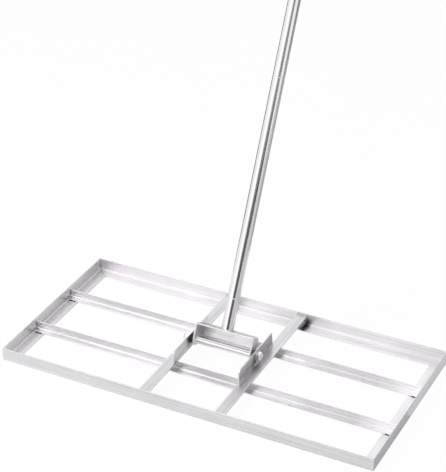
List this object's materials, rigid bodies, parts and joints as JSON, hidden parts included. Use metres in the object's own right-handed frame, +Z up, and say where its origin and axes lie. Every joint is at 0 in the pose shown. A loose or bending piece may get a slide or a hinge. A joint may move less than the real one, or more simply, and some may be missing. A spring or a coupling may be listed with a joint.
{
  "type": "lawn leveling rake",
  "caption": "Flat rectangular grid of welded stainless angle that drags soil level, with a tall screw-together tube handle that tilts on a bolted yoke.",
  "frame": {"origin": "middle of the front rail's sole, on the ground", "axes": "+Z up, +Y from the front rail to the back rail, +X to the right along the front rail"},
  "size_m": [0.914, 0.9498, 1.524],
  "materials": {
    "frame_steel": "bright mill finish stainless, fine lengthwise grain",
    "plate_steel": "rolled stainless plate with faint streaks",
    "fastener_steel": "bright turned stainless",
    "tube_steel": "polished stainless tube",
    "thread_steel": "turned stainless, dull",
    "spacer_nylon": "black moulded nylon",
    "grip_rubber": "dark grey matt rubber"
  },
  "bodies": {
    "frame": {"front_rail": "frame_steel", "back_rail": "frame_steel", "left_rail": "frame_steel", "right_rail": "frame_steel", "front_slat": "frame_steel", "back_slat": "frame_steel", "left_cross_bar": "frame_steel", "right_cross_bar": "frame_steel", "left_ear": "plate_steel", "right_ear": "plate_steel", "pivot_bolt": "fastener_steel", "pivot_nut": "fastener_steel", "head_washer": "fastener_steel", "nut_washer": "fastener_steel", "left_spacer": "spacer_nylon", "right_spacer": "spacer_nylon"},
    "handle": {"pivot_sleeve": "tube_steel", "yoke_angle": "plate_steel", "yoke_left_arm": "plate_steel", "yoke_right_arm": "plate_steel", "handle_stub": "tube_steel", "stub_socket": "thread_steel", "lower_tube": "tube_steel", "lower_spigot": "thread_steel", "lower_socket": "thread_steel", "middle_tube": "tube_steel", "middle_spigot": "thread_steel", "middle_socket": "thread_steel", "upper_tube": "tube_steel", "upper_spigot": "thread_steel", "grip": "grip_rubber"}
  },
  "joints": [
    {"name": "handle_tilt", "type": "hinge", "parent": "frame", "child": "handle", "pos_m": [0, 0.2015, 0.043], "axis": [1, 0, 0], "range_deg": [-62, 114]}
  ]
}
